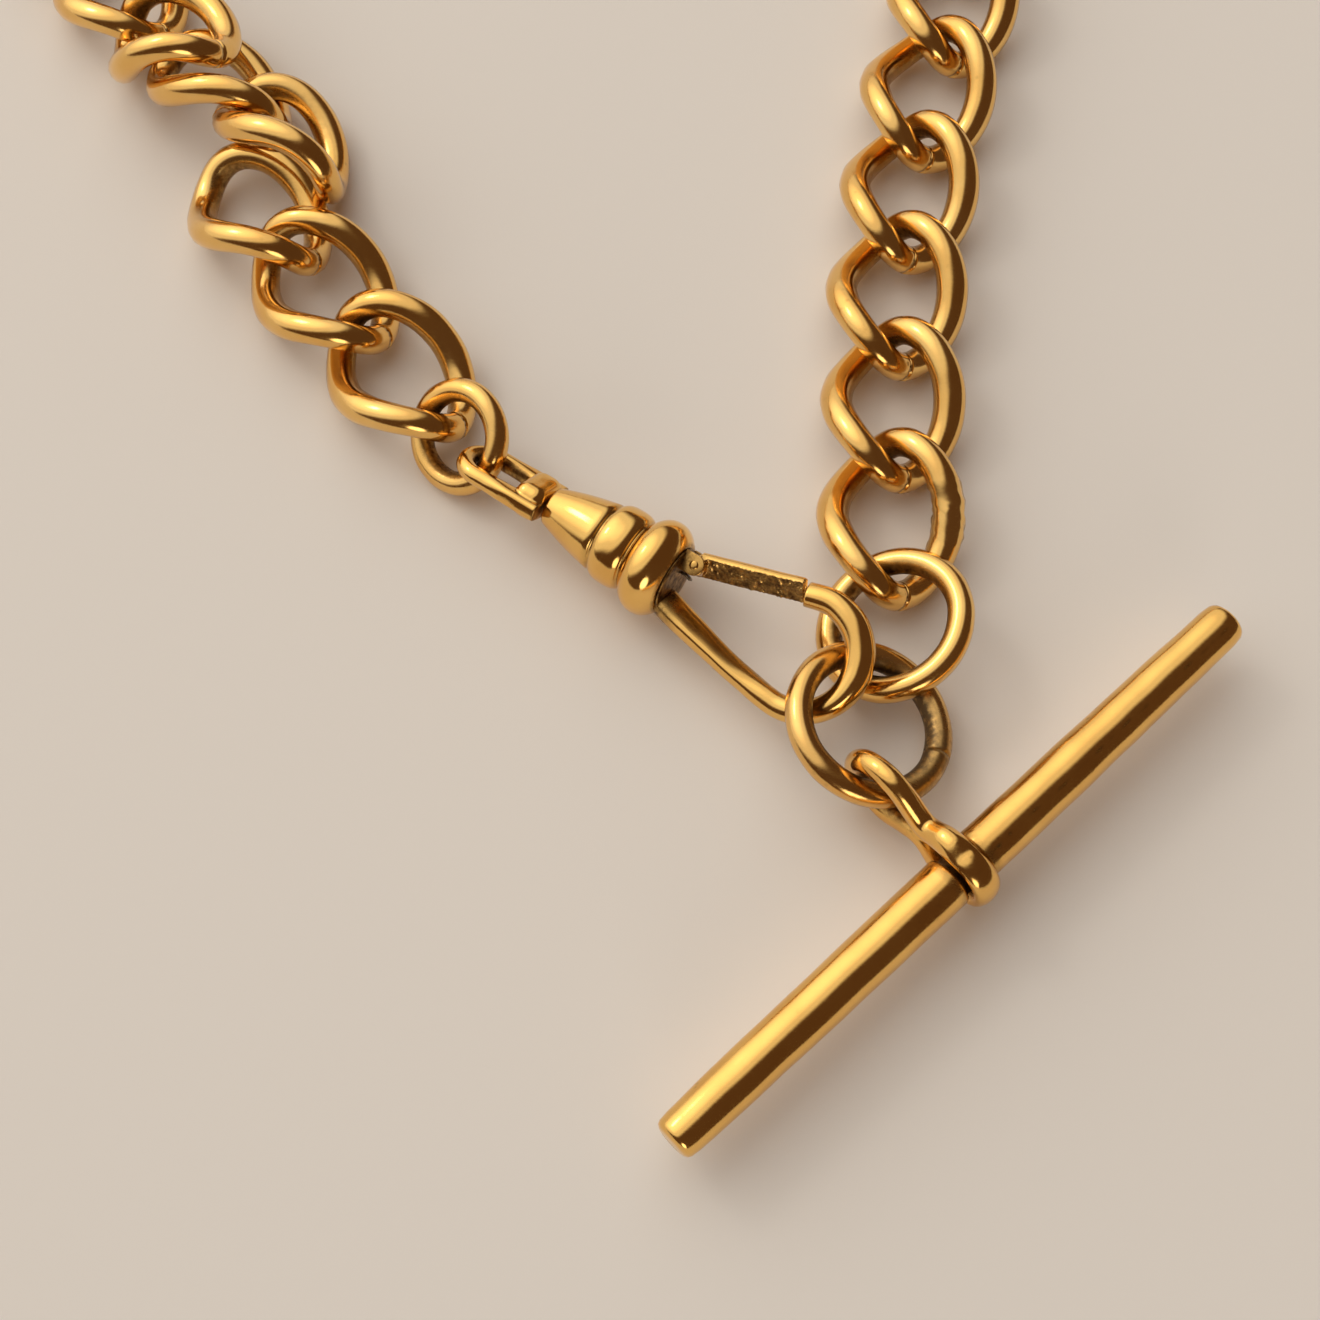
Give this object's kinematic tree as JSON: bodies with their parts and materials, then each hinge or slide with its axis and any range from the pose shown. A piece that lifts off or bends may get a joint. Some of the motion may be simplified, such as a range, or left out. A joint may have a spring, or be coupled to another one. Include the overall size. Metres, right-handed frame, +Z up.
{
  "type": "pocket watch chain",
  "caption": "Curb link watch chain laid in a closed loop, with a T-bar on a ring at one end and a swivel hook with a sprung gate at the other.",
  "frame": {"origin": "on the surface that the chain lies on, below the middle of its bounding box", "axes": "+Z up from the surface, +Y along the laid-out loop from the T-bar to the far bend, +X across it"},
  "size_m": [0.0758, 0.1818, 0.0077],
  "materials": {
    "polished_gold": "polished, lightly worn, warm yellow",
    "tarnished_gold": "polished outside, dull brown tarnish inside the ring",
    "spring_steel": "plain spring leaf"
  },
  "bodies": {
    "t_bar": {"t_bar": "polished_gold"},
    "t_bar_eye": {"t_bar_eye": "polished_gold"},
    "t_bar_ring": {"t_bar_ring": "tarnished_gold"},
    "end_ring": {"end_ring": "polished_gold"},
    "link_01": {"link_01": "polished_gold"},
    "link_02": {"link_02": "polished_gold"},
    "link_03": {"link_03": "polished_gold"},
    "link_04": {"link_04": "polished_gold"},
    "link_05": {"link_05": "polished_gold"},
    "link_06": {"link_06": "polished_gold"},
    "link_07": {"link_07": "polished_gold"},
    "link_08": {"link_08": "polished_gold"},
    "link_09": {"link_09": "polished_gold"},
    "link_10": {"link_10": "polished_gold"},
    "link_11": {"link_11": "polished_gold"},
    "link_12": {"link_12": "polished_gold"},
    "link_13": {"link_13": "polished_gold"},
    "link_14": {"link_14": "polished_gold"},
    "link_15": {"link_15": "polished_gold"},
    "link_16": {"link_16": "polished_gold"},
    "link_17": {"link_17": "polished_gold"},
    "link_18": {"link_18": "polished_gold"},
    "link_19": {"link_19": "polished_gold"},
    "link_20": {"link_20": "polished_gold"},
    "link_21": {"link_21": "polished_gold"},
    "link_22": {"link_22": "polished_gold"},
    "link_23": {"link_23": "polished_gold"},
    "link_24": {"link_24": "polished_gold"},
    "link_25": {"link_25": "polished_gold"},
    "link_26": {"link_26": "polished_gold"},
    "link_27": {"link_27": "polished_gold"},
    "link_28": {"link_28": "polished_gold"},
    "link_29": {"link_29": "polished_gold"},
    "link_30": {"link_30": "polished_gold"},
    "link_31": {"link_31": "polished_gold"},
    "link_32": {"link_32": "polished_gold"},
    "link_33": {"link_33": "polished_gold"},
    "link_34": {"link_34": "polished_gold"},
    "link_35": {"link_35": "polished_gold"},
    "link_36": {"link_36": "polished_gold"},
    "link_37": {"link_37": "polished_gold"},
    "link_38": {"link_38": "polished_gold"},
    "link_39": {"link_39": "polished_gold"},
    "link_40": {"link_40": "polished_gold"},
    "link_41": {"link_41": "polished_gold"},
    "link_42": {"link_42": "polished_gold"},
    "link_43": {"link_43": "polished_gold"},
    "link_44": {"link_44": "polished_gold"},
    "link_45": {"link_45": "polished_gold"},
    "small_ring": {"small_ring": "polished_gold"},
    "swivel_bail": {"swivel_bail": "polished_gold"},
    "swivel_body": {"swivel_body": "polished_gold", "swivel_rivet": "polished_gold", "hook": "polished_gold", "gate_pin": "polished_gold", "gate_spring": "spring_steel"},
    "gate": {"gate": "polished_gold"}
  },
  "joints": [
    {"name": "eye_round_bar", "type": "hinge", "parent": "t_bar", "child": "t_bar_eye", "pos_m": [0.0219, -0.07607, 0.00325], "axis": [0.7337, 0.6794, 0], "range_deg": [-75, 75]},
    {"name": "t_bar_ring_in_eye", "type": "hinge", "parent": "t_bar_eye", "child": "t_bar_ring", "pos_m": [0.01797, -0.07182, 0.00337], "axis": [0.7337, 0.6794, 0], "range_deg": [-60, 60]},
    {"name": "end_ring_in_t_bar_ring", "type": "hinge", "parent": "t_bar_ring", "child": "end_ring", "pos_m": [0.01812, -0.06485, 0.00287], "axis": [-0.9645, 0.2642, 0], "range_deg": [-12, 6]},
    {"name": "link_01_hinge", "type": "hinge", "parent": "end_ring", "child": "link_01", "pos_m": [0.01899, -0.05851, 0.00254], "axis": [0, 0, -1], "range_deg": [-12, 0]},
    {"name": "link_02_hinge", "type": "hinge", "parent": "link_01", "child": "link_02", "pos_m": [0.01927, -0.05144, 0.00236], "axis": [0, 0, 1], "range_deg": [-2, 6]},
    {"name": "link_03_hinge", "type": "hinge", "parent": "link_02", "child": "link_03", "pos_m": [0.01975, -0.04406, 0.00236], "axis": [0, 0, -1], "range_deg": [-1, 1]},
    {"name": "link_04_hinge", "type": "hinge", "parent": "link_03", "child": "link_04", "pos_m": [0.02054, -0.03671, 0.00236], "axis": [-0.9851, 0.172, 0], "range_deg": [0, 36]},
    {"name": "link_05_hinge", "type": "hinge", "parent": "link_04", "child": "link_05", "pos_m": [0.0218, -0.02942, 0.00236], "axis": [0.9747, -0.2234, 0], "range_deg": [-40, 40]},
    {"name": "link_06_hinge", "type": "hinge", "parent": "link_05", "child": "link_06", "pos_m": [0.02349, -0.02222, 0.00236], "axis": [-0.6986, 0.1096, 0.7071], "range_deg": [-42, 0]},
    {"name": "link_07_hinge", "type": "hinge", "parent": "link_06", "child": "link_07", "pos_m": [0.02481, -0.01497, 0.00236], "axis": [0.9975, -0.07, 0], "range_deg": [-30, 30]},
    {"name": "link_08_hinge", "type": "hinge", "parent": "link_07", "child": "link_08", "pos_m": [0.02539, -0.0076, 0.00236], "axis": [-0.9988, 0.049, 0], "range_deg": [-40, 40]},
    {"name": "link_09_hinge", "type": "hinge", "parent": "link_08", "child": "link_09", "pos_m": [0.02576, -0.00021, 0.00236], "axis": [0.9993, -0.0365, 0], "range_deg": [-40, 40]},
    {"name": "link_10_hinge", "type": "hinge", "parent": "link_09", "child": "link_10", "pos_m": [0.02603, 0.00719, 0.00236], "axis": [-0.9996, 0.0266, 0], "range_deg": [-40, 40]},
    {"name": "link_11_hinge", "type": "hinge", "parent": "link_10", "child": "link_11", "pos_m": [0.02623, 0.01459, 0.00236], "axis": [0.9998, -0.0176, 0], "range_deg": [-40, 40]},
    {"name": "link_12_hinge", "type": "hinge", "parent": "link_11", "child": "link_12", "pos_m": [0.02636, 0.02198, 0.00236], "axis": [-1, 0.0082, 0], "range_deg": [-40, 40]},
    {"name": "link_13_hinge", "type": "hinge", "parent": "link_12", "child": "link_13", "pos_m": [0.02642, 0.02938, 0.00236], "axis": [1, 0.0027, 0], "range_deg": [-40, 40]},
    {"name": "link_14_hinge", "type": "hinge", "parent": "link_13", "child": "link_14", "pos_m": [0.0264, 0.03678, 0.00236], "axis": [-0.9999, -0.0169, 0], "range_deg": [-40, 40]},
    {"name": "link_15_hinge", "type": "hinge", "parent": "link_14", "child": "link_15", "pos_m": [0.02626, 0.04418, 0.00236], "axis": [0.9992, 0.0388, 0], "range_deg": [-40, 40]},
    {"name": "link_16_hinge", "type": "hinge", "parent": "link_15", "child": "link_16", "pos_m": [0.02595, 0.05158, 0.00236], "axis": [-0.9964, -0.085, 0], "range_deg": [-36, 36]},
    {"name": "link_17_hinge", "type": "hinge", "parent": "link_16", "child": "link_17", "pos_m": [0.02527, 0.05894, 0.00236], "axis": [0.9874, 0.1582, 0], "range_deg": [-36, 36]},
    {"name": "link_18_hinge", "type": "hinge", "parent": "link_17", "child": "link_18", "pos_m": [0.02388, 0.06618, 0.00236], "axis": [-0.9223, -0.3864, 0], "range_deg": [-42, 0]},
    {"name": "link_19_hinge", "type": "hinge", "parent": "link_18", "child": "link_19", "pos_m": [0.02103, 0.0729, 0.00236], "axis": [0.7767, 0.6299, 0], "range_deg": [-20, 20]},
    {"name": "link_20_hinge", "type": "hinge", "parent": "link_19", "child": "link_20", "pos_m": [0.01647, 0.07863, 0.00236], "axis": [-0.6075, -0.7943, 0], "range_deg": [-30, 0]},
    {"name": "link_21_hinge", "type": "hinge", "parent": "link_20", "child": "link_21", "pos_m": [0.01061, 0.08302, 0.00236], "axis": [0.3691, 0.9294, 0], "range_deg": [-20, 20]},
    {"name": "link_22_hinge", "type": "hinge", "parent": "link_21", "child": "link_22", "pos_m": [0.00383, 0.08578, 0.00236], "axis": [-0.1, -0.7, 0.7071], "range_deg": [-42, 0]},
    {"name": "link_23_hinge", "type": "hinge", "parent": "link_22", "child": "link_23", "pos_m": [-0.00342, 0.08675, 0.00236], "axis": [-0.0939, 0.7008, -0.7071], "range_deg": [0, 42]},
    {"name": "link_24_hinge", "type": "hinge", "parent": "link_23", "child": "link_24", "pos_m": [-0.01069, 0.08585, 0.00236], "axis": [0.2553, -0.6594, 0.7071], "range_deg": [-42, 0]},
    {"name": "link_25_hinge", "type": "hinge", "parent": "link_24", "child": "link_25", "pos_m": [-0.01749, 0.08314, 0.00236], "axis": [-0.6005, 0.7996, 0], "range_deg": [0, 30]},
    {"name": "link_26_hinge", "type": "hinge", "parent": "link_25", "child": "link_26", "pos_m": [-0.02338, 0.07881, 0.00236], "axis": [0.7713, -0.6365, 0], "range_deg": [-25, 25]},
    {"name": "link_27_hinge", "type": "hinge", "parent": "link_26", "child": "link_27", "pos_m": [-0.02799, 0.07312, 0.00236], "axis": [-0.9195, 0.3931, 0], "range_deg": [0, 30]},
    {"name": "link_28_hinge", "type": "hinge", "parent": "link_27", "child": "link_28", "pos_m": [-0.0309, 0.06642, 0.00236], "axis": [0.9865, -0.1639, 0], "range_deg": [0, 30]},
    {"name": "link_29_hinge", "type": "hinge", "parent": "link_28", "child": "link_29", "pos_m": [-0.03234, 0.05919, 0.00236], "axis": [-0.9956, 0.0935, 0], "range_deg": [-36, 36]},
    {"name": "link_30_hinge", "type": "hinge", "parent": "link_29", "child": "link_30", "pos_m": [-0.03307, 0.05183, 0.00236], "axis": [0.9989, -0.0466, 0], "range_deg": [-36, 36]},
    {"name": "link_31_hinge", "type": "hinge", "parent": "link_30", "child": "link_31", "pos_m": [-0.03345, 0.04444, 0.00236], "axis": [-0.9997, 0.0248, 0], "range_deg": [-40, 40]},
    {"name": "link_32_hinge", "type": "hinge", "parent": "link_31", "child": "link_32", "pos_m": [-0.03364, 0.03704, 0.00236], "axis": [0.9999, -0.0105, 0], "range_deg": [-40, 40]},
    {"name": "link_33_hinge", "type": "hinge", "parent": "link_32", "child": "link_33", "pos_m": [-0.03372, 0.02964, 0.00236], "axis": [-1, -0.0009, 0], "range_deg": [-40, 40]},
    {"name": "link_34_hinge", "type": "hinge", "parent": "link_33", "child": "link_34", "pos_m": [-0.03371, 0.02224, 0.00236], "axis": [0.9999, 0.0113, 0], "range_deg": [-40, 40]},
    {"name": "link_35_hinge", "type": "hinge", "parent": "link_34", "child": "link_35", "pos_m": [-0.03363, 0.01484, 0.00236], "axis": [-0.9997, -0.0224, 0], "range_deg": [-40, 40]},
    {"name": "link_36_hinge", "type": "hinge", "parent": "link_35", "child": "link_36", "pos_m": [-0.03346, 0.00745, 0.00236], "axis": [0.9993, 0.0371, 0], "range_deg": [-40, 40]},
    {"name": "link_37_hinge", "type": "hinge", "parent": "link_36", "child": "link_37", "pos_m": [-0.03317, 0.00005, 0.00236], "axis": [-0.9978, -0.0656, 0], "range_deg": [-40, 40]},
    {"name": "link_38_hinge", "type": "hinge", "parent": "link_37", "child": "link_38", "pos_m": [-0.0325, -0.0073, 0.00236], "axis": [0.9546, 0.298, 0], "range_deg": [-42, 0]},
    {"name": "link_39_hinge", "type": "hinge", "parent": "link_38", "child": "link_39", "pos_m": [-0.03027, -0.01421, 0.00236], "axis": [-0.8579, -0.5138, 0], "range_deg": [-48, 0]},
    {"name": "link_40_hinge", "type": "hinge", "parent": "link_39", "child": "link_40", "pos_m": [-0.02655, -0.02013, 0.00317], "axis": [0.7133, 0.7009, 0], "range_deg": [0, 48]},
    {"name": "link_41_hinge", "type": "hinge", "parent": "link_40", "child": "link_41", "pos_m": [-0.02281, -0.02438, 0.00351], "axis": [-0.4777, -0.5213, -0.7071], "range_deg": [-48, 0]},
    {"name": "link_42_hinge", "type": "hinge", "parent": "link_41", "child": "link_42", "pos_m": [-0.01886, -0.02794, 0.00331], "axis": [0.8192, 0.5736, 0], "range_deg": [0, 48]},
    {"name": "link_43_hinge", "type": "hinge", "parent": "link_42", "child": "link_43", "pos_m": [-0.01748, -0.0324, 0.00304], "axis": [-0.5647, -0.4255, -0.7071], "range_deg": [0, 42]},
    {"name": "link_44_hinge", "type": "hinge", "parent": "link_43", "child": "link_44", "pos_m": [-0.01621, -0.03741, 0.00245], "axis": [0.7649, 0.6441, 0], "range_deg": [-40, 40]},
    {"name": "link_45_hinge", "type": "hinge", "parent": "link_44", "child": "link_45", "pos_m": [-0.01173, -0.04281, 0.00238], "axis": [-0.5526, -0.4411, 0.7071], "range_deg": [-25, 25]},
    {"name": "small_ring_hinge", "type": "hinge", "parent": "link_45", "child": "small_ring", "pos_m": [-0.00747, -0.04787, 0.00246], "axis": [0, 0, 1], "range_deg": [-3, 3]},
    {"name": "swivel_bail_hinge", "type": "hinge", "parent": "small_ring", "child": "swivel_bail", "pos_m": [-0.00524, -0.05075, 0.00259], "axis": [-0.3985, -0.5841, 0.7071], "range_deg": [-40, 40]},
    {"name": "swivel_spin", "type": "hinge", "parent": "swivel_bail", "child": "swivel_body", "pos_m": [-0.00015, -0.05466, 0.00291], "axis": [0.8251, -0.5628, 0.0497], "range_deg": [-6, 6]},
    {"name": "gate_hinge", "type": "hinge", "parent": "swivel_body", "child": "gate", "pos_m": [0.00808, -0.05888, 0.00397], "axis": [0.2975, 0.3579, -0.8851], "range_deg": [0, 25], "stiffness_Nm_per_rad": 0.004, "springref_deg": -20.05}
  ]
}
